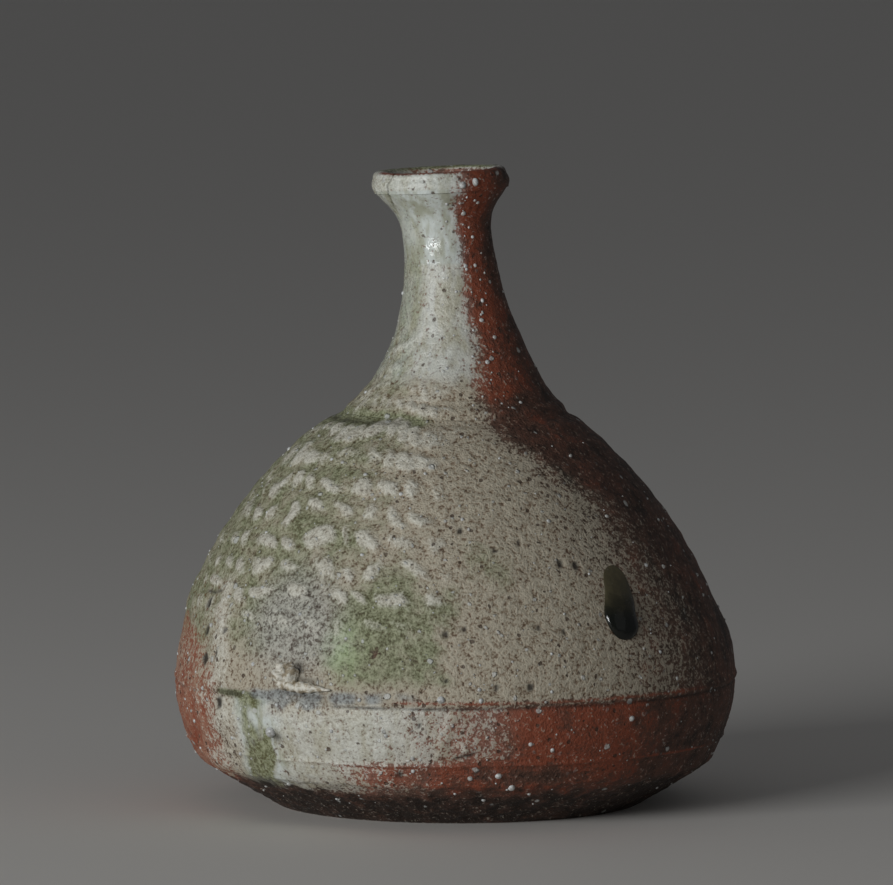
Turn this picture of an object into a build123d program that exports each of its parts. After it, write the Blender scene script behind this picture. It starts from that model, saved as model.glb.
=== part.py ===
"""Round-bellied sake bottle of coarse wood-fired clay.

The pot is built up in sections that are luted together while the clay is soft: a base bowl, a belt of
wall, a shoulder, a neck and a mouth band. The kiln then adds what is fused to its outside: a drop and a
run of natural glass, a lump and a sliver of kiln debris, a pebble and proud grains of feldspar.

Millimetres. The origin is the centre of the foot on the table and +Z is up. The bottle's front is -Y,
and its neck leans towards -X. Azimuths turn anticlockwise from +X, seen from above.
"""

import os
from math import atan2, cos, degrees, radians, sin, tan

from build123d import *

# Foot and base bowl
FOOT_R = 39.0  # flat of the foot
FOOT_ROUND = 1.2  # rounding at the edge of the foot
KNEE_Z = 9.7  # height where the undercut meets the wall
KNEE_IN = 5.0  # how far the knee lies inside the belly
KNEE_ROUND = 3.0
KNEE_SLOPE = 61.0  # slope of the wall just above the knee, in degrees
KNEE_PULL = 7.3  # pull of the curve between knee and belly, at both ends
FLOOR_T = 5.5
FLOOR_IN = 4.0  # how far the flat of the floor lies inside the foot
BOWL_RUN = 12.0  # pull of the bowl's inside curve at the floor
BOWL_RISE = 12.3  # and at the belly

# Belly, with the two seams where its sections were luted
BELLY_R = 60.0
BELLY_Z = 27.8  # height of the widest ring, which is also the upper seam
BELT_Z = 14.6  # height of the lower seam
WALL_T = 5.0
SEAM_CUT = 0.5  # depth of the groove left at the upper seam
FINE_SEAM_CUT = 0.25  # and at the lower seam

# Shoulder, up to the root of the neck
ROOT_R = 24.0
ROOT_Z = 84.0
ROOT_WALL = 7.5  # measured level, through a wall that slopes
ROOT_CUT = 0.6  # depth of the groove round the root of the neck
ROOT_SLOPE = 31.0  # slope of the shoulder where it meets the neck, in degrees
SHOULDER_RISE = 17.2  # pull of the curve at the belly
SHOULDER_RUN = 20.3  # pull of the curve at the root

# Neck, which leans
NECK_SLOPE = 40.0  # slope of the neck where it leaves the shoulder, in degrees
NECK_RUN = 10.5  # pull of the neck's curve at its root
NECK_RISE = 15.0  # and under the waist
WAIST_R = 9.4  # narrowest ring of the neck
WAIST_Z = 121.5
LIP_Z = 131.4  # height where the mouth band sits on the flare
LIP_R = 14.0
LIP_SLOPE = 54.0  # slope of the flare under the band, in degrees
FLARE_RISE = 5.5  # pull of the flare's curve over the waist
FLARE_RUN = 4.0  # and under the band
LEAN = 7.0  # lean of the neck, in degrees
LEAN_Z = 103.0  # height where the lean begins
LEAN_BLEND = 8.0  # height over which the neck bends to its full lean
BORE_R = 6.0  # straight throat
FUNNEL_Z = 102.0  # height where the funnel from the belly has closed to the throat
FUNNEL_RISE = 9.0  # pull of the funnel's curve there
CROSSING = 0.5  # how far funnel and flare close inside the throat, so that their walls cross
NECK_RINGS = 6
FLARE_RINGS = 3

# Mouth band
MOUTH_TILT = 3.0  # tilt of the mouth, in degrees
BAND_H = 4.3
BAND_FOOT = 0.2  # how far the band's foot stands out from the flare
BAND_BULGE = 0.6  # and its widest ring
BAND_BULGE_Z = 1.5  # height of that ring on the band
BAND_TOP = 0.1  # how far its top stands out
MOUTH_R = 10.8  # opening at the top
FLARE_DEPTH = 13.0  # how deep the mouth's flare runs down into the throat
BAND_ROUND = 1.2
CRACK_AZIMUTH = 224.5
CRACK_W = 0.4
CRACK_DEPTH = 2.0
CRACK_BELOW = 3.0  # how far the crack runs on under the band
CRACK_LEAN = 12.0  # lean of the crack's bottom, in degrees

# What the kiln fused on: each piece is placed by its azimuth and height on the wall
DROP_AZIMUTH, DROP_Z = 310.2, 47.3
DROP_SIZE = (7.4, 17.5, 5.4)  # across, down the wall, through
DROP_DIP = 7.0  # tilt that sinks the upper end into the wall, in degrees
RUN_AZIMUTH, RUN_Z = 222.0, 20.0
RUN_SIZE = (6.0, 24.0, 3.0)
POOL_AZIMUTH, POOL_SIZE = 220.0, (9.0, 2.6, 2.0)
BEAD_AZIMUTH, BEAD_Z, BEAD_SIZE = 220.5, 12.0, (5.0, 6.5, 3.4)
LUMP_AZIMUTH, LUMP_Z = 232.3, 33.0
LUMP_SIZE = (4.8, 5.2, 4.2)
SLIVER_AZIMUTH, SLIVER_Z = 238.2, 31.1
SLIVER_LENGTH, SLIVER_R, SLIVER_TIP_R = 12.0, 1.1, 0.45
SLIVER_DIP = 11.5  # how far the tip lies below the butt, in degrees
PEBBLE_AZIMUTH, PEBBLE_Z, PEBBLE_R = 230.0, 20.2, 1.1
GRAIN_COUNT = 56
GRAIN_R = (0.6, 0.75, 0.95)
GRAIN_Z = (31.0, 78.0)  # band of the shoulder that carries the proud grains
GRAIN_SUNK = 0.35  # share of a grain's radius that its centre lies under the skin
GRAIN_START = 20.0  # azimuth of the lowest grain
GOLDEN_ANGLE = 137.508

REACH = 5.0  # how far a cutting solid runs past what it cuts


def polar(length, angle):
    """A step of that length in the profile plane, at an angle above +X."""
    return Vector(length * cos(radians(angle)), 0, length * sin(radians(angle)))


# ---- Profile curves, drawn in the XZ plane ----

foot_edge = Vector(FOOT_R, 0, 0)
knee = Vector(BELLY_R - KNEE_IN, 0, KNEE_Z)
belly = Vector(BELLY_R, 0, BELLY_Z)
root = Vector(ROOT_R, 0, ROOT_Z)
waist = Vector(WAIST_R, 0, WAIST_Z)
lip = Vector(LIP_R, 0, LIP_Z)
up = Vector(0, 0, 1)

outer_low = Bezier(knee, knee + polar(KNEE_PULL, KNEE_SLOPE), belly - up * KNEE_PULL, belly)
outer_shoulder = Bezier(
    belly, belly + up * SHOULDER_RISE, root - polar(SHOULDER_RUN, 180 - ROOT_SLOPE), root
)
outer_neck = Bezier(
    root, root + polar(NECK_RUN, 180 - NECK_SLOPE), waist - up * NECK_RISE, waist
)
outer_flare = Bezier(waist, waist + up * FLARE_RISE, lip - polar(FLARE_RUN, LIP_SLOPE), lip)

floor_edge = Vector(FOOT_R - FLOOR_IN, 0, FLOOR_T)
inner_belly = belly - Vector(WALL_T, 0, 0)
inner_root = root - Vector(ROOT_WALL, 0, 0)
inner_low = Bezier(
    floor_edge, floor_edge + Vector(BOWL_RUN, 0, 0), inner_belly - up * BOWL_RISE, inner_belly
)
inner_shoulder = Bezier(
    inner_belly,
    inner_belly + up * SHOULDER_RISE,
    inner_root - polar(SHOULDER_RUN, 180 - ROOT_SLOPE),
    inner_root,
)


def solid_of_revolution(*edges):
    """Turns a closed outline of edges about the upright axis."""
    return revolve(Face(Wire(edges)), Axis.Z)


def outline_point(z):
    """The belly's outline at a height, as (point, outward normal) in the profile plane."""
    curve = outer_low if z < BELLY_Z else outer_shoulder
    low, high = 0.0, 1.0
    for _ in range(40):
        middle = (low + high) / 2
        if (curve @ middle).Z < z:
            low = middle
        else:
            high = middle
    along = curve % low
    return curve @ low, Vector(along.Z, 0, -along.X)


def on_wall(azimuth, z):
    """Frame on the belly's outside: x runs round the pot, y up the wall and z out of it."""
    point, normal = outline_point(z)
    front = Plane(origin=point, x_dir=(0, 1, 0), z_dir=normal)
    return Location((0, 0, 0), (0, 0, azimuth)) * front.location


def ellipsoid(size):
    """Ellipsoid of those full widths round the pot, up the wall and out of it."""
    return scale(Sphere(0.5), by=size)


# ---- Walls ----

outer_edges = [
    Line((0, 0, 0), foot_edge),
    Line(foot_edge, knee),
    outer_low,
    outer_shoulder,
    Line(root, (0, 0, ROOT_Z)),
    Line((0, 0, ROOT_Z), (0, 0, 0)),
]
inner_edges = [
    Line((0, 0, FLOOR_T), floor_edge),
    inner_low,
    inner_shoulder,
    Line(inner_root, (0, 0, ROOT_Z)),
    Line((0, 0, ROOT_Z), (0, 0, FLOOR_T)),
]


def seam_groove(z, depth):
    """The V-shaped ring that a luted seam leaves round the outside of the wall."""
    point, normal = outline_point(z)
    facing = degrees(atan2(normal.Z, normal.X))
    bottom = point - normal * depth
    reach = 3 * depth
    sides = (bottom + polar(reach, facing - 45), bottom + polar(reach, facing + 45))
    return solid_of_revolution(*Polyline(bottom, *sides, close=True).edges())


upper_groove = seam_groove(BELLY_Z, SEAM_CUT)
lower_groove = seam_groove(BELT_Z, FINE_SEAM_CUT)
root_groove = seam_groove(ROOT_Z, ROOT_CUT)


def body_outside():
    """The pot from foot to neck root as if it were solid clay."""
    block = solid_of_revolution(*outer_edges)
    rings = block.edges().filter_by(GeomType.CIRCLE)
    block = fillet(rings.sort_by_distance(knee)[0], KNEE_ROUND)
    rings = block.edges().filter_by(GeomType.CIRCLE)
    block = fillet(rings.sort_by_distance(foot_edge)[0], FOOT_ROUND)
    return block - upper_groove - lower_groove - root_groove


def neck_axis(z):
    """Where the neck's centreline is at a height: (x, tilt in degrees)."""
    above = z - LEAN_Z
    if above <= 0:
        return 0.0, 0.0
    if above < LEAN_BLEND:
        return -tan(radians(LEAN)) * above**2 / (2 * LEAN_BLEND), LEAN * above / LEAN_BLEND
    return -tan(radians(LEAN)) * (above - LEAN_BLEND / 2), LEAN


def leaning_plane(z, tilt=None):
    """Plane across the neck at a height, with the neck's own tilt unless another is given."""
    x, own = neck_axis(z)
    tilt = radians(own if tilt is None else tilt)
    return Plane(
        origin=(x, 0, z), x_dir=(cos(tilt), 0, sin(tilt)), z_dir=(-sin(tilt), 0, cos(tilt))
    )


mouth_plane = leaning_plane(LIP_Z, MOUTH_TILT)
throat_start = LEAN_Z + LEAN_BLEND / 2  # where the straight throat's axis meets the upright axis


def neck_outside():
    """Loft through rings across the neck, read off its profile curves and run on past both ends."""
    stops = [(outer_neck, t / NECK_RINGS) for t in range(NECK_RINGS + 1)]
    stops += [(outer_flare, t / FLARE_RINGS) for t in range(1, FLARE_RINGS + 1)]
    past = REACH / 2
    rings = [Plane.XY.offset(ROOT_Z - past) * Circle(ROOT_R + past / tan(radians(NECK_SLOPE)))]
    for curve, t in stops:
        point = curve @ t
        rings.append(leaning_plane(point.Z) * Circle(point.X))
    rings.append(leaning_plane(LIP_Z + past) * Circle(LIP_R + past / tan(radians(LIP_SLOPE))))
    shape = split(loft(rings), bisect_by=mouth_plane, keep=Keep.BOTTOM)
    return split(shape, bisect_by=Plane.XY.offset(ROOT_Z), keep=Keep.TOP)


def throat():
    """The way through the neck: a funnel out of the belly, then the straight bore."""
    closed = Vector(BORE_R - CROSSING, 0, FUNNEL_Z)
    curve = Bezier(
        inner_root,
        inner_root + polar(NECK_RUN, 180 - NECK_SLOPE),
        closed - up * FUNNEL_RISE,
        closed,
    )
    funnel = solid_of_revolution(
        Line((0, 0, ROOT_Z), inner_root),
        curve,
        Line(closed, (0, 0, FUNNEL_Z)),
        Line((0, 0, FUNNEL_Z), (0, 0, ROOT_Z)),
    )
    frame = Plane(
        origin=(0, 0, throat_start),
        x_dir=(cos(radians(LEAN)), 0, sin(radians(LEAN))),
        z_dir=(-sin(radians(LEAN)), 0, cos(radians(LEAN))),
    )
    low = FUNNEL_Z - REACH - throat_start
    high = LIP_Z + BAND_H + REACH - throat_start
    bore = frame * Pos(0, 0, (low + high) / 2) * Cylinder(BORE_R, high - low)
    return funnel, bore


def mouth_flare():
    """The cone that opens the throat out to the mouth."""
    upwards = (Align.CENTER, Align.CENTER, Align.MIN)
    rise = FLARE_DEPTH + BAND_H
    cone = Cone(BORE_R - CROSSING, MOUTH_R, rise, align=upwards)
    over = Pos(0, 0, rise) * Cylinder(MOUTH_R, REACH, align=upwards)
    return mouth_plane * Pos(0, 0, -FLARE_DEPTH) * (cone + over)


def band_ring():
    """The mouth band as a turned ring with a slight bulge, standing on the mouth plane."""
    outline = Polyline(
        (0, 0, 0),
        (LIP_R + BAND_FOOT, 0, 0),
        (LIP_R + BAND_BULGE, 0, BAND_BULGE_Z),
        (LIP_R + BAND_TOP, 0, BAND_H),
        (0, 0, BAND_H),
        close=True,
    )
    ring = solid_of_revolution(*outline.edges())
    ring = fillet(ring.edges().filter_by(GeomType.CIRCLE).sort_by(Axis.Z)[-1], BAND_ROUND)
    return mouth_plane * ring


def crack_blade():
    """The thin slot that a drying crack leaves, down through the band and into the flare."""
    height = BAND_H + CRACK_BELOW + REACH
    blade = Box(CRACK_DEPTH + REACH, CRACK_W, height, align=(Align.MIN, Align.CENTER, Align.MIN))
    place = Pos(LIP_R - CRACK_DEPTH, 0, -CRACK_BELOW) * Rot(0, CRACK_LEAN, 0)
    return mouth_plane * Rot(0, 0, CRACK_AZIMUTH) * place * blade


body = body_outside()
shell = body - solid_of_revolution(*inner_edges)
upper_seam = Plane.XY.offset(BELLY_Z)
lower_seam = Plane.XY.offset(BELT_Z)
shoulder = split(shell, bisect_by=upper_seam, keep=Keep.TOP)
lower_wall = split(shell, bisect_by=upper_seam, keep=Keep.BOTTOM)
lower_belt = split(lower_wall, bisect_by=lower_seam, keep=Keep.TOP)
base_bowl = split(lower_wall, bisect_by=lower_seam, keep=Keep.BOTTOM)

funnel, bore = throat()
neck = neck_outside() - root_groove - funnel - bore - mouth_flare() - crack_blade()
mouth_band = band_ring() - mouth_flare() - crack_blade()

# ---- What the kiln fused on, each cut to the wall that it sits on ----

def seated(shape):
    """Cuts a fused-on piece back to the wall under it."""
    return shape - body


drop = seated(on_wall(DROP_AZIMUTH, DROP_Z) * Rot(DROP_DIP, 0, 0) * ellipsoid(DROP_SIZE))
pool = on_wall(POOL_AZIMUTH, BELLY_Z) * ellipsoid(POOL_SIZE)
streak = on_wall(RUN_AZIMUTH, RUN_Z) * ellipsoid(RUN_SIZE)
bead = on_wall(BEAD_AZIMUTH, BEAD_Z) * ellipsoid(BEAD_SIZE)
glaze_run = seated(streak + bead + pool)
lump = seated(on_wall(LUMP_AZIMUTH, LUMP_Z) * ellipsoid(LUMP_SIZE))
sliver = Cone(SLIVER_R, SLIVER_TIP_R, SLIVER_LENGTH)
sliver = on_wall(SLIVER_AZIMUTH, SLIVER_Z) * Rot(0, 0, -SLIVER_DIP) * Rot(0, 90, 0) * sliver
sliver = seated(sliver) - lump
pebble = seated(on_wall(PEBBLE_AZIMUTH, PEBBLE_Z) * Sphere(PEBBLE_R))


def grains():
    """Proud grains of feldspar, spread over the shoulder by the golden angle."""
    taken = [drop.bounding_box(), lump.bounding_box(), sliver.bounding_box()]
    found = []
    for k in range(GRAIN_COUNT):
        share = (k + 0.5) / GRAIN_COUNT
        z = GRAIN_Z[0] + (GRAIN_Z[1] - GRAIN_Z[0]) * share
        azimuth = (GRAIN_START + k * GOLDEN_ANGLE) % 360
        radius = GRAIN_R[k % len(GRAIN_R)]
        place = on_wall(azimuth, z) * Pos(0, 0, -GRAIN_SUNK * radius)
        spot = place.position
        clear = all(
            spot.X + radius < b.min.X
            or spot.X - radius > b.max.X
            or spot.Y + radius < b.min.Y
            or spot.Y - radius > b.max.Y
            or spot.Z + radius < b.min.Z
            or spot.Z - radius > b.max.Z
            for b in taken
        )
        if clear:
            found.append(seated(place * Rot(0, 90, 0) * Sphere(radius)))
    return Compound(children=found)


parts = {
    "base_bowl": base_bowl,
    "lower_belt": lower_belt,
    "shoulder": shoulder,
    "neck": neck,
    "mouth_band": mouth_band,
    "glass_drop": drop,
    "glaze_run": glaze_run,
    "debris_lump": lump,
    "debris_sliver": sliver,
    "side_pebble": pebble,
    "feldspar_grains": grains(),
}

os.makedirs("parts", exist_ok=True)
for name, shape in parts.items():
    export_step(shape, f"parts/{name}.step")
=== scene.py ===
import random
from math import atan2, cos, degrees, exp, hypot, pi, radians, sin, tan

import bmesh
import bpy
from mathutils import Matrix, Vector, noise
from mathutils.geometry import interpolate_bezier


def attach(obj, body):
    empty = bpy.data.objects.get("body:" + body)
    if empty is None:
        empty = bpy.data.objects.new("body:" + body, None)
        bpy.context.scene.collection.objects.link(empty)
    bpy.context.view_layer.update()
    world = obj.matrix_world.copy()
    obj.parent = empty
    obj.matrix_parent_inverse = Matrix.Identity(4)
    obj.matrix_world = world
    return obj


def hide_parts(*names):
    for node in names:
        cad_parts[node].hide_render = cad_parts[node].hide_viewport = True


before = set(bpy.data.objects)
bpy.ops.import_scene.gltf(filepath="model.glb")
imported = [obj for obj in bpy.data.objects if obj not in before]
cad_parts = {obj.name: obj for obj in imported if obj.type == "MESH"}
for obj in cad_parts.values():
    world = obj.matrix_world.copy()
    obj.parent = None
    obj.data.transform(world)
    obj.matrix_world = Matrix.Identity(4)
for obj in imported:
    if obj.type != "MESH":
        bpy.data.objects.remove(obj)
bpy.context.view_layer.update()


# ---- The base bowl ----
# The bowl that the pot was begun with: a flat foot, a knife-trimmed undercut and the knee above it.
# It is coarse stoneware clay with feldspar in it, nearly black on the undercut below the knee.
BELLY_R = 0.0600
BELLY_Z = 0.0278
BELT_Z = 0.0146
KNEE_R, KNEE_Z = 0.0550, 0.0097
FOOT_R = 0.0390
FLOOR_T = 0.0055
WALL_T = 0.0050
WALL_STEPS = 540
SKIN_STEP = 0.00052
AXIS_REACH = 1e-6
SHARP_EDGE = 0.9


def curve(start, leave, arrive, end, spacing=SKIN_STEP):
    """Points about that far apart along a curve in the profile plane. leave and arrive are its pulls."""
    start, end = Vector(start), Vector(end)
    count = max(3, round((end - start).length * 1.04 / spacing))
    return interpolate_bezier(start, start + Vector(leave), end - Vector(arrive), end, count)


def pull(length, slope):
    """A pull of that length along a slope in degrees above outwards."""
    return Vector((length * cos(radians(slope)), 0, length * sin(radians(slope))))


def band(points, low, high):
    """The part of a rising outline between two heights, with its ends cut exactly there."""
    kept = [p for p in points if low < p.z < high]
    for first, second in zip(points, points[1:]):
        for level in (low, high):
            if first.z < level <= second.z or first.z == level == low:
                share = (level - first.z) / (second.z - first.z)
                kept.append(first.lerp(second, share))
    return sorted(kept, key=lambda p: p.z)


def smooth(low, high, value):
    """0 below low, 1 above high and an even curve between; low may be the larger."""
    share = (value - low) / (high - low)
    if share <= 0:
        return 0.0
    if share >= 1:
        return 1.0
    return share * share * (3 - 2 * share)


def lumps(p, size, offset=0.0):
    """Soft noise, -1 to 1, in lumps of that size."""
    return noise.noise(p / size + Vector((offset, offset, offset)))


def near(value, middle, reach):
    """1 at the middle, falling away softly with that reach on both sides."""
    return exp(-(((value - middle) / reach) ** 2))


# The soft pot sagged to the left at the shoulder, and its neck leaned over: metres and slopes.
SHOULDER_SAG = 0.0011
FOOT_SLIP = 0.0004
NECK_SLIP = 0.0004
LEAN_Z = 0.107
LEAN_SLOPE = tan(radians(7.0))
TILT_SLOPE = tan(radians(3.0))


def settle(p):
    """Moves a point of the turned pot to where the soft pot sagged and leaned."""
    z = p.z
    side = -SHOULDER_SAG * smooth(0.036, 0.046, z) * smooth(0.086, 0.078, z)
    side += FOOT_SLIP * smooth(0.012, 0.006, z)
    side += NECK_SLIP * smooth(0.087, 0.093, z) * smooth(0.108, 0.100, z)
    bend = 0.002 * smooth(0.099, LEAN_Z, z) * smooth(0.115, LEAN_Z, z)
    side -= LEAN_SLOPE * (max(0.0, z - LEAN_Z) + bend)
    tilt = TILT_SLOPE * smooth(0.103, 0.1314, z)
    return Vector((p.x + side, p.y, z + p.x * tilt))


# Burst pits on the left cheek and the front: degrees from the front, then height and reach in mm.
PITS = (
    (-66.5, 45, 1.2), (-65, 39.4, 1.1), (-63.4, 33.5, 1.4), (-58.5, 35, 0.8), (-56.5, 40, 0.6),
    (-56, 25, 1.2), (2.5, 62.5, 0.7), (27, 55.5, 0.8), (31, 55, 0.9), (-1.5, 42, 0.7),
    (2.5, 43, 0.6), (18.5, 43, 0.6), (11, 58.5, 0.5), (-7.4, 23.3, 0.5), (-12, 12.5, 0.7),
    (-2.2, 32.5, 0.5), (17.5, 60, 0.6), (24, 42, 0.6), (15, 31, 0.8), (8, 31, 0.7),
)
PITS_TOP = 66
PIT_SPAN = 3

# Heights in mm of the two joins' cuts and ridges, the red line along the upper one, and the band's foot.
LOW_CUT, LOW_RIDGE = 13.9, 14.5
SEAM_CUT, SEAM_RIDGE, SEAM_LINE = 26.6, 27.8, 27.9
BAND_EDGE, BAND_CLEAR = 131.7, 132.3

# Where the glaze run and the mouth's crack are, in degrees from the front.
RUN_AZIMUTH = -45.6
CRACK_AZIMUTH = -45.5

# How far marks stand out of the wall or cut into it, in mm, and how far apart the throwing lines are.
KNOB_RISE = 0.60
ASH_RISE = 0.10
RING_RISE, RING_GAP = 0.09, 5.2
SEAM_RISE, SEAM_DEPTH = 0.36, 0.24
LOW_RISE, LOW_DEPTH = 0.26, 0.12
ROOT_RISE, ROOT_DEPTH = 0.35, 0.45
SLIT_DEPTH = 0.9
HOLLOW_DEPTH = 1.1
PIT_DEPTH = 0.45


def weather(p):
    """What fire and ash left at a point: how far the skin stands out there, and its colours' shares.

    coat holds ash, the share under natural ash glaze, green, how thick and green it is, knob, its cream
    high spots, and vivid, its brightest green. fire holds flash, how bright the bare clay fired, grey,
    the scorched ash, wet, how glossy the coat is, and dark, the holes and grooves, with the shade painted
    in hollows, round the debris and the pebble, in the neck root's groove and at the run's foot.
    """
    a = degrees(atan2(p.x, -p.y))
    z = p.z * 1000
    broad = lumps(p, 0.046, 1)
    wander = lumps(p, 0.011)
    fleck = lumps(p, 0.0032, 7)
    fine = lumps(p, 0.0014, 5)
    far = 0.55 * wander + 0.3 * fleck

    # Ash fell on the left and the front; its edge runs down the neck and off over the right shoulder.
    edge = 14 + 4 * smooth(128, 134, z) + 4 * smooth(90, 82, z) + 14 * smooth(83, 74, z)
    edge += 11 * smooth(75, 66, z) + 5 * smooth(66, 46, z)
    blur = 11 + 13 * smooth(78, 55, z)
    right = smooth(edge + blur, edge - blur, a + 7 * far)
    behind = smooth(-70, -90, a)
    level = z + behind * (0.16 * min(0, 80 + a) + 6 * broad + 6 * wander + 2 * fleck)
    left_edge = -59 - 14 * smooth(28, 41, level) - 75 * smooth(38, 49, level)
    left = smooth(left_edge - 13 - 16 * behind, left_edge + 9 + 8 * behind, a + 9 * far)
    left = max(left, 0.33 * smooth(25, 33, z + 4 * wander) * smooth(-120, -100, a))
    ash = right * left
    belt = smooth(28.1, SEAM_CUT, z)
    ash *= 1 - belt * smooth(-18, 20, a + 10 * wander + 20 * smooth(17, 13, z))
    drag = near(a - 0.31 * (z - 22), -1.75, 1.1 + 0.6 * fleck)
    drag *= smooth(15, 17, z) * smooth(27.5, 25.5, z)
    flake = near(a, 1.9, 1.7) * near(z, 18.1, 1.2)
    ash = max(ash, 0.8 * drag, 0.8 * flake)
    ash *= smooth(7.0, 8.8, z + 0.8 * fleck)
    ash = max(ash, smooth(134.6, 135.6, z) * smooth(70, 110, abs(a)))
    ash *= 1 - 0.9 * smooth(135.2, 135.6, z) * smooth(75, 60, abs(a + 5))
    ember = near(a, -16.5, 0.8 + 0.3 * fine) * near(z, 37.5, 1.1)
    ash *= 1 - 0.85 * ember

    # Knobs: the high spots between the throwing lines, where the glaze ran thin and stayed cream.
    drift = lumps(p, 0.010, 11)
    v = z / 5.4 + 0.55 * wander + 0.25 * drift
    u = a / 8.2 + 0.5 * v + 0.75 * drift + 0.3 * lumps(p, 0.005, 31)
    rows = 0.5 + 0.5 * cos(2 * pi * v)
    spots = 0.5 + 0.5 * cos(2 * pi * u)
    spots += (1 - spots) * 0.45 * smooth(66, 78, z)
    field = smooth(-98, -55, a) * smooth(12, -18, a + 9 * wander)
    field *= smooth(38, 50, z) * smooth(100, 80, z)
    knob = (rows * spots) ** 0.75 * (1.42 + 1.2 * lumps(p, 0.008, 21)) - 0.24 + 0.2 * fine
    knob = field * max(0.0, knob)
    stroke = 0.5 + 0.5 * cos(2 * pi * (z / 4.6 - a / 34 + 0.5 * wander + 0.3 * drift))
    stroke *= smooth(84, 88, z) * smooth(106, 97, z) * smooth(-85, -60, a) * smooth(4, -14, a)
    knob = max(knob, stroke * max(0.0, 0.45 + 0.9 * lumps(p, 0.006, 21)))
    cream = near(a, -58 - 0.25 * max(0.0, z - 34) + 5 * wander, 4.5) * smooth(56, 44, z + 5 * wander)
    cream = max(0.0, cream * (0.74 + 0.6 * wander + 0.5 * fleck))
    cream = max(cream, belt * smooth(4, -14, a + 6 * wander) * (0.66 + 0.4 * wander))
    knob = max(knob, cream * smooth(9, 12, z) * (0.85 + 0.4 * fleck))

    # Green: round the neck root, on the left shoulder, low at the front and in a run down the belt.
    front = smooth(-27, -20, a + 6 * far) * smooth(4, -4, a + 7 * far)
    front *= smooth(28, 34, z) * smooth(58, 44, z + 5 * wander)
    vivid = near(a + 2 * fleck, -24.0, 4.2) * near(z, 38.5, 4.6)
    root = near(z, 83.2, 1.5) * smooth(-5, -25, a + 9 * far)
    cheek = smooth(0, -45, a + 14 * wander) * smooth(32, 40, z) * smooth(92, 80, z)
    limb = smooth(-22, -48, a + 6 * wander) * smooth(84, 92, z)
    middle = RUN_AZIMUTH - 0.025 * (z - 19) ** 2 + 2.5 * fleck + 1.5 * wander
    run = near(a, middle, 4.8 + 1.0 * smooth(17, 10, z))
    run *= smooth(6.8, 8.0, z) * smooth(29, 26, z)
    run = min(1.0, max(0.0, run * (0.88 + 0.4 * smooth(17, 11, z) + 0.7 * wander + 0.6 * fleck)))
    knob *= 1 - run
    pool = near(z, 27.4 + 0.4 * wander, 0.8)
    pool *= smooth(-58, -55, a + 2 * wander) * smooth(-43, -47, a)
    green = 0.62 * front + 0.7 * vivid + 0.9 * root + 0.55 * cheek + 0.5 * limb + run + pool
    inside = smooth(134.9, 135.5, z) * smooth(80, 110, abs(a))
    mouth = smooth(BAND_EDGE, BAND_CLEAR, z)
    knob = max(knob, mouth * (1 - inside) * max(0.0, 0.85 + 0.4 * wander + 0.4 * fleck))
    green += 0.9 * inside
    green *= 1 - 0.8 * cream * (1 - run)
    green += 0.45 * near(a, 9 + 9 * wander, 5) * near(z, 55, 6)
    green = min(1.0, max(green, pool))
    knob *= 1 - pool

    # Grey: ash that the fire scorched, over the left front and along the seam.
    grey = near(a, -36, 14) * near(z, 43, 13)
    singe = smooth(-50, -44, a) * smooth(0, -16, a) * near(z + 1.4 * wander + 0.8 * fleck, 28.6, 1.5)
    grey = max(grey, singe * max(0.0, 0.7 + fleck))
    bloom = near(a + 5 * wander, -32.5, 9.5) * near(z + 1.6 * wander + fleck, 26.9, 2.0)
    bloom = min(1.0, max(0.0, bloom * (0.85 + 0.6 * fleck)))
    grey = max(grey, bloom)
    knob *= 1 - 0.8 * bloom

    # Flash: bare clay, orange at the far left, red on the belt and the neck, dark brown on the right.
    flash = 0.95 * smooth(-52, -62, a) * smooth(-160, -110, a) * smooth(60, 44, z)
    flash = max(flash, 0.60 * belt * smooth(78, 28, a - 6 * wander) * smooth(-90, -20, a))
    flash = max(flash, 0.60 * smooth(82, 92, z) * smooth(105, 30, a), 0.36 * ember)
    flash = max(flash, 0.30 - 0.07 * smooth(45, 75, a) + 0.05 * wander + 0.25 * smooth(105, 150, abs(a)))
    flash = max(flash, 0.65 * near(z, SEAM_LINE, 0.55) * smooth(-16, -11, a) * smooth(75, 50, a))
    flash = max(flash, 0.62 * near(z, LOW_RIDGE, 0.4) * smooth(-30, -12, a) * smooth(80, 60, a))
    flash -= 0.34 * near(a, 15, 11) * near(z, 11.8, 2.4)
    # The clay darkens to nearly black on the undercut below the knee.
    flash *= 0.15 + 0.85 * smooth(5.5, 10.5, z + 1.5 * fleck)
    flash += 0.08 * wander + 0.10 * fleck + 0.16 * broad * smooth(-55, -80, a)
    ash *= 1 - 0.75 * near(z, SEAM_LINE, 0.45) * smooth(-16, -11, a)
    ash *= 1 - 0.7 * near(z, 14.2, 0.35) * smooth(-42, -16, a)
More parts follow.
